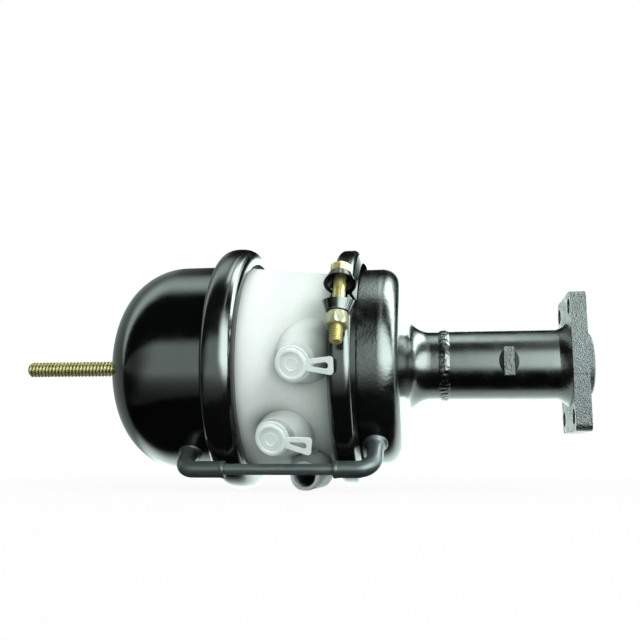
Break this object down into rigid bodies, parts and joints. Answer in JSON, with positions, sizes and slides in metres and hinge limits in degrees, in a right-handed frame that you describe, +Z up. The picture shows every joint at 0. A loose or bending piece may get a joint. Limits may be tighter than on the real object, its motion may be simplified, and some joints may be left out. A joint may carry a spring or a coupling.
{
  "type": "air brake chamber",
  "caption": "Double-diaphragm spring brake chamber on a tube with a bolted flange, with clamped pressed housings, a cast middle case, plugged ports and a release stud.",
  "frame": {"origin": "centre of the mounting flange's face, on the push rod's axis", "axes": "+X out of the mounting face along the push rod, towards the brake it works; +Z up, along the flange's long side; the air ports point towards -Y and down"},
  "size_m": [0.4974, 0.2438, 0.209],
  "materials": {
    "painted_steel": "glossy black paint over pressed steel",
    "black_clamp": "glossy black enamel on the clamp band and ring",
    "painted_tube": "satin to glossy black paint on the tube",
    "painted_casting": "black paint over a rough cast flange",
    "weld": "black paint over a weld bead",
    "cast_aluminium": "pale sand-cast aluminium with a fine grain",
    "yellow_zinc": "yellow zinc plate",
    "plug_plastic": "milky soft plastic",
    "breather_rubber": "matt dark grey rubber",
    "breather_plastic": "satin dark grey plastic pipe",
    "diaphragm_rubber": "black fabric-reinforced rubber",
    "seal_rubber": "black rubber",
    "guide_plastic": "off-white bearing plastic",
    "spring_steel": "grey-black coated spring wire",
    "plated_steel": "bright zinc-plated steel",
    "bare_aluminium": "die-cast aluminium"
  },
  "bodies": {
    "chamber": {"mounting_flange": "painted_casting", "mounting_tube": "painted_tube", "flange_weld": "weld", "tube_weld": "weld", "tube_lug": "painted_casting", "push_rod_guide": "guide_plastic", "service_housing": "painted_steel", "service_diaphragm": "diaphragm_rubber", "service_return_spring": "spring_steel", "service_clamp_upper": "black_clamp", "service_clamp_lower": "black_clamp", "clamp_bolts": "yellow_zinc", "clamp_nuts": "yellow_zinc", "flange_case": "cast_aluminium", "case_guide": "guide_plastic", "case_seals": "seal_rubber", "parking_return_spring": "spring_steel", "parking_diaphragm": "diaphragm_rubber", "power_spring": "spring_steel", "spring_housing": "painted_steel", "parking_clamp_ring": "black_clamp", "breather_elbow_rear": "breather_rubber", "breather_elbow_front": "breather_rubber", "breather_pipe": "breather_plastic"},
    "parking_piston": {"pressure_plate": "bare_aluminium", "parking_push_rod": "plated_steel"},
    "release_stud_body": {"release_stud": "yellow_zinc"},
    "service_rod": {"service_push_plate": "plated_steel", "service_push_rod": "plated_steel"},
    "service_plug": {"service_port_plug": "plug_plastic"},
    "parking_plug": {"parking_port_plug": "plug_plastic"}
  },
  "joints": [
    {"name": "parking_slide", "type": "slide", "parent": "chamber", "child": "parking_piston", "axis": [1, 0, 0], "range_m": [0, 0.06], "deforming": ["power_spring", "parking_return_spring", "parking_diaphragm"]},
    {"name": "service_slide", "type": "slide", "parent": "chamber", "child": "service_rod", "axis": [1, 0, 0], "range_m": [0, 0.06], "deforming": ["service_return_spring", "service_diaphragm"]},
    {"name": "release_stud_turn", "type": "hinge", "parent": "parking_piston", "child": "release_stud_body", "pos_m": [-0.34, 0, 0], "axis": [1, 0, 0], "range_deg": [0, 90]},
    {"name": "service_plug_pull", "type": "slide", "parent": "chamber", "child": "service_plug", "axis": [-0.1564, -0.9281, -0.3378], "range_m": [0, 0.06]},
    {"name": "parking_plug_pull", "type": "slide", "parent": "chamber", "child": "parking_plug", "axis": [-0.1564, -0.9281, -0.3378], "range_m": [0, 0.06]}
  ],
  "couplings": [
    {"joint": "service_slide", "follows": "parking_slide", "ratio": 1}
  ]
}
